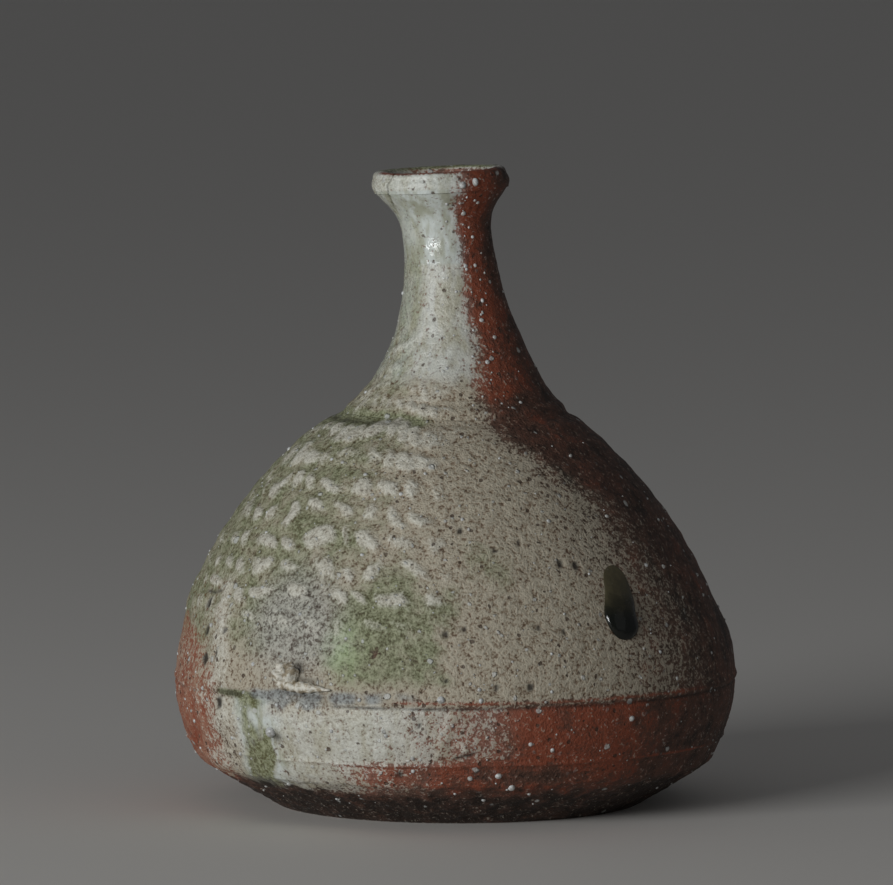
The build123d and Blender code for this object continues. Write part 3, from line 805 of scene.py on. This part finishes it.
# The largest grains stand at the edge of the neck's glaze and from the seam down to the foot: degrees
# from the front, height and radius in metres.
BIG_GRAINS = (
    (30.5, 0.1333, 0.00105), (18.5, 0.1328, 0.00090), (22.5, 0.1266, 0.00065), (34, 0.1215, 0.00045),
    (33, 0.1082, 0.00060), (36, 0.1005, 0.00055), (24, 0.0955, 0.00060), (-3, 0.0286, 0.00095),
    (5, 0.0284, 0.00070), (20, 0.0175, 0.00060), (38, 0.0232, 0.00075), (9, 0.0122, 0.00080),
    (3, 0.0118, 0.00070), (12, 0.0095, 0.00090),
)
GRAINS = 640
GRAIN_BATCH = 40
chance = random.Random(7)

# Small grains lie anywhere on the belly; every eighth is on the neck, half of those at the glaze's edge.
beads = list(BIG_GRAINS)
for count in range(GRAINS):
    height = 0.0045 + 0.0780 * chance.random() ** 1.3
    azimuth = chance.uniform(-180, 180)
    if count % 8 == 0:
        height = chance.uniform(0.086, 0.132)
        azimuth = chance.gauss(24, 11) if count % 16 else azimuth
    beads.append((azimuth, height, 0.00020 + 0.00040 * chance.random() ** 2.2))

# The beads are made in batches, because adding each to one long mesh is slow.
bm = bmesh.new()
for first in range(0, len(beads), GRAIN_BATCH):
    batch = bmesh.new()
    for azimuth, height, size in beads[first : first + GRAIN_BATCH]:
        place = Matrix.Translation(on_wall(azimuth, height, -0.25 * size))
        turn = Matrix.Rotation(chance.uniform(0, 6), 4, "Z")
        turn @= Matrix.Diagonal((1, chance.uniform(0.7, 1), 0.9, 1))
        bmesh.ops.create_uvsphere(batch, u_segments=8, v_segments=6, radius=size, matrix=place @ turn)
    batch_mesh = bpy.data.meshes.new("batch")
    batch.to_mesh(batch_mesh)
    batch.free()
    bm.from_mesh(batch_mesh)
    bpy.data.meshes.remove(batch_mesh)
for face in bm.faces:
    face.smooth = True
grains = finished("feldspar_beads", bm)
grains.data.materials.append(spar)
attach(grains, "root")
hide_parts("feldspar_grains")


# ---- Stage: floor, light and camera ----
# A plain pale floor, a soft window light from the left, a weak fill from the right and a dim, even sky.
# The camera stands a little above the mouth and far off, with a long lens.
FLOOR_COLOUR = (0.74, 0.71, 0.67, 1)
FLOOR_HALF = 20
SKY_COLOUR = (0.80, 0.82, 0.85, 1)
SKY_STRENGTH = 0.11
LIGHTS_AIM = Vector((0, 0, 0.06))
LENS = 340
EYE = Vector((-0.0020, -1.8, 0.233))
EYE_AIM = Vector((-0.0020, 0, 0.0771))
bm = bmesh.new()
bmesh.ops.create_grid(bm, x_segments=1, y_segments=1, size=FLOOR_HALF)
floor = finished("floor", bm)
floor_finish = bpy.data.materials.new("floor")
floor_finish.use_nodes = True
shader = floor_finish.node_tree.nodes["Principled BSDF"]
shader.inputs["Base Color"].default_value = FLOOR_COLOUR
shader.inputs["Roughness"].default_value = 0.8
floor.data.materials.append(floor_finish)


def window(name, place, size, power, colour):
    """A rectangular soft light that faces the pot."""
    light = bpy.data.lights.new(name, "AREA")
    light.shape = "RECTANGLE"
    light.size, light.size_y = size
    light.energy = power
    light.color = colour
    lamp = bpy.data.objects.new(name, light)
    lamp.location = place
    lamp.rotation_mode = "QUATERNION"
    lamp.rotation_quaternion = (LIGHTS_AIM - Vector(place)).to_track_quat("-Z", "Y")
    bpy.context.scene.collection.objects.link(lamp)


window("key", place=(-1.07, -1.19, 0.40), size=(0.95, 0.32), power=15.0, colour=(0.97, 0.99, 1.0))
window("fill", place=(1.3, -1.2, 0.8), size=(1.4, 1.4), power=0.5, colour=(1, 1, 1))
world = bpy.data.worlds.new("studio")
world.use_nodes = True
world.node_tree.nodes["Background"].inputs["Color"].default_value = SKY_COLOUR
world.node_tree.nodes["Background"].inputs["Strength"].default_value = SKY_STRENGTH
bpy.context.scene.world = world
bpy.context.scene.view_settings.view_transform = "Standard"

camera = bpy.data.objects.new("camera", bpy.data.cameras.new("camera"))
camera.data.lens = LENS
camera.data.clip_start, camera.data.clip_end = 0.1, 100
camera.location = EYE
camera.rotation_mode = "QUATERNION"
camera.rotation_quaternion = (EYE_AIM - EYE).to_track_quat("-Z", "Y")
bpy.context.scene.collection.objects.link(camera)
bpy.context.scene.camera = camera
